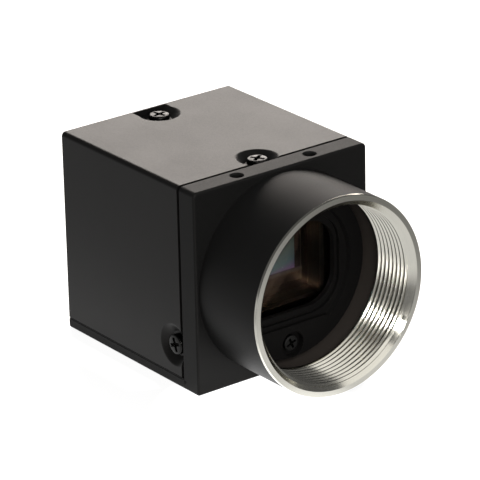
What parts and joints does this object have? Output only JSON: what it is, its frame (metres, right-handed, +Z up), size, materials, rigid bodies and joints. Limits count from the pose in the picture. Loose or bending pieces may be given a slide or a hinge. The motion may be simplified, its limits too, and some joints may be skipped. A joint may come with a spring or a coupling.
{
  "type": "machine vision camera",
  "caption": "Compact cube-shaped machine vision camera with a steel-lined screw lens mount in front, a black cover held by sunk screws, and USB and round trigger sockets on the back.",
  "frame": {"origin": "on the base's underside, under the middle of the whole camera's length and width", "axes": "+Z up out of the top cover, the lens looks along -Y, the sockets face +Y, +X is to the right seen from in front of the lens"},
  "size_m": [0.029, 0.043, 0.029],
  "materials": {
    "black_anodised": "satin black anodised aluminium",
    "lens_steel": "turned stainless steel",
    "bore_black": "matt black anodised aluminium",
    "black_screws": "black oxide steel",
    "filter_glass": "coated filter glass",
    "lid_glass": "clear lid glass",
    "gasket_rubber": "black rubber",
    "seal_foam": "black foam",
    "sensor_silicon": "iridescent silicon",
    "sensor_ceramic": "brown alumina",
    "board_green": "green solder resist",
    "chip_black": "moulded black resin",
    "crystal_can": "nickel plated lid",
    "ferrite_grey": "grey ferrite",
    "capacitor_tan": "tan ceramic",
    "spacer_brass": "plain brass",
    "steel_screws": "zinc plated steel",
    "link_black": "black connector plastic",
    "socket_steel": "nickel plated steel",
    "socket_black": "black insert plastic",
    "contact_gold": "gold plated",
    "lamp_white": "white lamp resin",
    "pipe_clear": "clear acrylic"
  },
  "bodies": {
    "root": {"chassis": "black_anodised", "lens_mount_ring": "lens_steel", "filter_retainer": "bore_black", "retainer_screws": "black_screws", "filter_gasket": "gasket_rubber", "filter_glass": "filter_glass", "sensor_seal": "seal_foam", "sensor_cover_glass": "lid_glass", "sensor_die": "sensor_silicon", "sensor_package": "sensor_ceramic", "sensor_board": "board_green", "main_board": "board_green", "socket_board": "board_green", "front_spacers": "spacer_brass", "rear_spacers": "spacer_brass", "front_link_socket": "link_black", "front_link_plug": "link_black", "rear_link_socket": "link_black", "rear_link_plug": "link_black", "image_processor": "chip_black", "memory_chips": "chip_black", "usb_bridge": "chip_black", "clock_crystal": "crystal_can", "power_inductors": "ferrite_grey", "board_capacitors": "capacitor_tan", "cover_screws": "black_screws", "board_screws": "steel_screws", "foot_screws": "black_screws", "cover": "black_anodised", "rear_panel": "black_anodised", "usb_shell": "socket_steel", "usb_core": "socket_black", "usb_contacts": "contact_gold", "io_shell": "socket_steel", "io_insert": "socket_black", "io_pins": "contact_gold", "status_lamp": "lamp_white", "light_pipe": "pipe_clear"}
  },
  "joints": []
}
